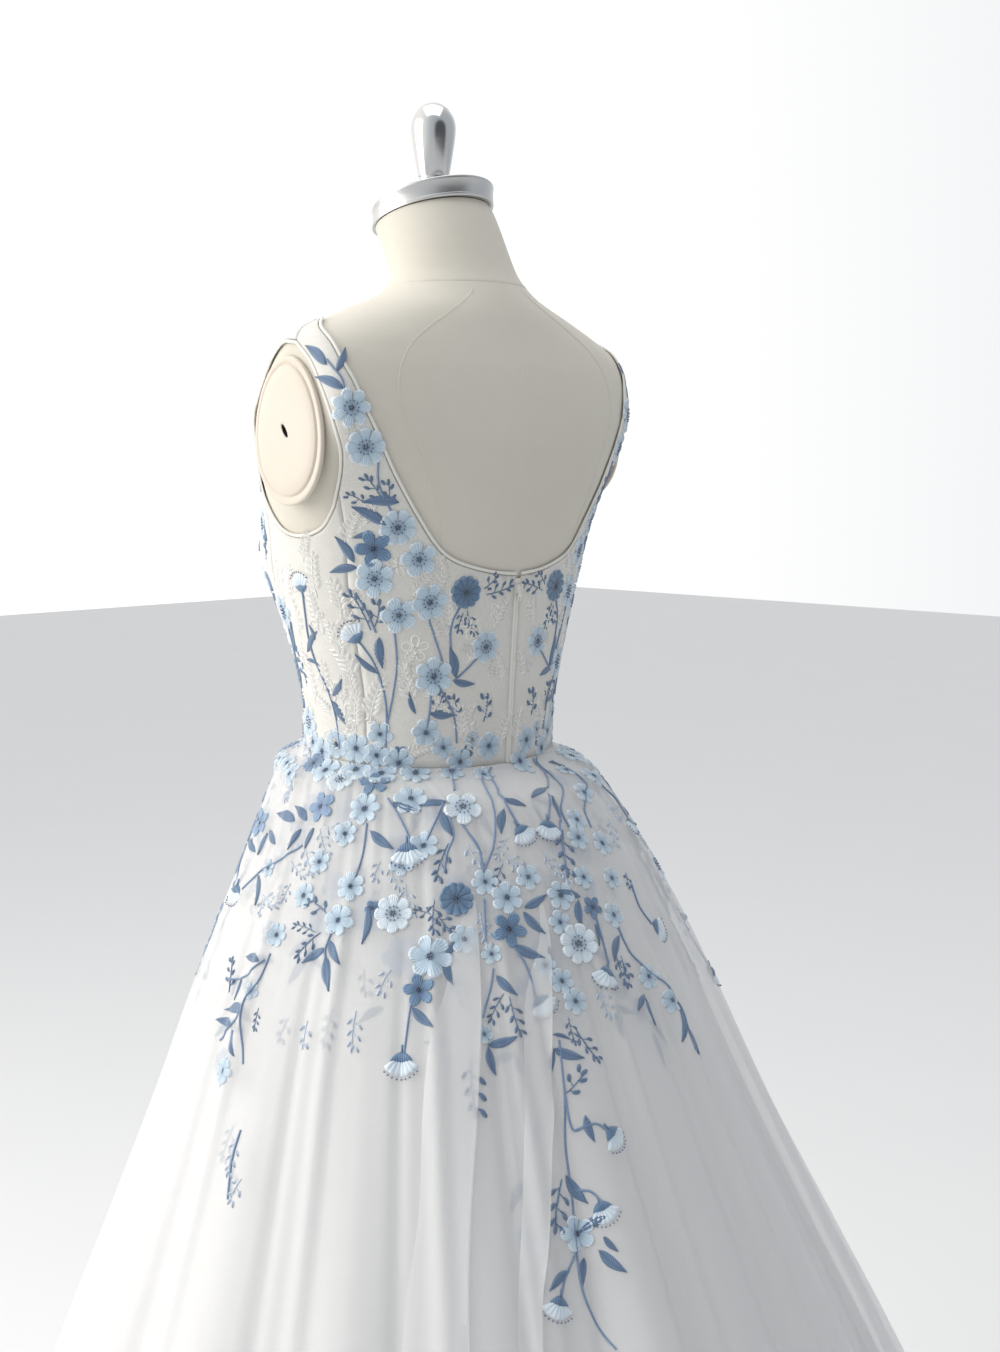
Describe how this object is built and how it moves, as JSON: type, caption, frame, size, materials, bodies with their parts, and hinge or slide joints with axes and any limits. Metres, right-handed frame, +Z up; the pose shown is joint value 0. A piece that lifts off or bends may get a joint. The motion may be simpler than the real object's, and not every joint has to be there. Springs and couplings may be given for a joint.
{
  "type": "wedding dress on a dress form",
  "caption": "Sleeveless A-line wedding dress with a deep round back, a tulle skirt and blue embroidered flower branches, worn by a limbless dress form with a metal neck cap and knob.",
  "frame": {"origin": "on the floor, in the middle of the hem's round; the stand's axis is 0.100 m in front of it", "axes": "+Z up, -Y towards the front of the dress, +X towards the wearer's left"},
  "size_m": [1.1319, 1.1115, 1.5946],
  "materials": {
    "linen": "matte cream linen, pasted smooth over the form",
    "brushed_cap": "brushed round the band",
    "polished_knob": "polished",
    "stand_pole": "plain, hidden by the skirt",
    "stand_foot": "plain satin paint, hidden by the skirt",
    "nude_mesh": "sheer nude mesh with ivory lace embroidery",
    "ivory_binding": "narrow folded binding",
    "zip_plastic": "closed invisible coil on a woven tape",
    "zip_metal": "cream enamel",
    "ivory_satin": "soft ivory lining",
    "white_tulle": "sheer soft tulle",
    "ice_blue_thread": "satin-stitched thread",
    "dusty_blue_thread": "satin-stitched thread"
  },
  "bodies": {
    "dress_on_form": {"form_torso": "linen", "arm_plate_left": "linen", "arm_plate_right": "linen", "neck_cap": "brushed_cap", "knob": "polished_knob", "pole": "stand_pole", "foot": "stand_foot", "bodice_back_left": "nude_mesh", "bodice_back_right": "nude_mesh", "bodice_side_left": "nude_mesh", "bodice_side_right": "nude_mesh", "bodice_front": "nude_mesh", "neckline_binding": "ivory_binding", "armhole_binding_left": "ivory_binding", "armhole_binding_right": "ivory_binding", "zip_coil": "zip_plastic", "zip_slider": "zip_metal", "skirt_lining": "ivory_satin", "tulle_overskirt": "white_tulle", "flower_bodice_left_01": "ice_blue_thread", "flower_bodice_left_02": "ice_blue_thread", "flower_bodice_left_03": "ice_blue_thread", "flower_bodice_left_04": "dusty_blue_thread", "flower_bodice_left_05": "ice_blue_thread", "flower_bodice_left_06": "ice_blue_thread", "flower_bodice_left_07": "ice_blue_thread", "flower_bodice_left_08": "dusty_blue_thread", "flower_bodice_left_09": "ice_blue_thread", "flower_bodice_left_10": "ice_blue_thread", "flower_bodice_right_01": "ice_blue_thread", "flower_bodice_right_02": "ice_blue_thread", "flower_bodice_right_03": "ice_blue_thread", "flower_bodice_right_04": "dusty_blue_thread", "flower_bodice_right_05": "ice_blue_thread", "flower_bodice_right_06": "ice_blue_thread", "flower_bodice_right_07": "ice_blue_thread", "flower_bodice_right_08": "dusty_blue_thread", "flower_bodice_right_09": "ice_blue_thread", "flower_bodice_right_10": "ice_blue_thread", "flower_skirt_01": "ice_blue_thread", "flower_skirt_02": "ice_blue_thread", "flower_skirt_03": "dusty_blue_thread", "flower_skirt_04": "ice_blue_thread", "flower_skirt_05": "ice_blue_thread", "flower_skirt_06": "ice_blue_thread", "flower_skirt_07": "ice_blue_thread", "flower_skirt_08": "ice_blue_thread"},
    "pull_tab": {"zip_pull_tab": "zip_metal"}
  },
  "joints": [
    {"name": "pull_tab_hinge", "type": "hinge", "parent": "dress_on_form", "child": "pull_tab", "pos_m": [0, 0.01208, 1.19504], "axis": [1, 0, 0], "range_deg": [0, 150]}
  ]
}
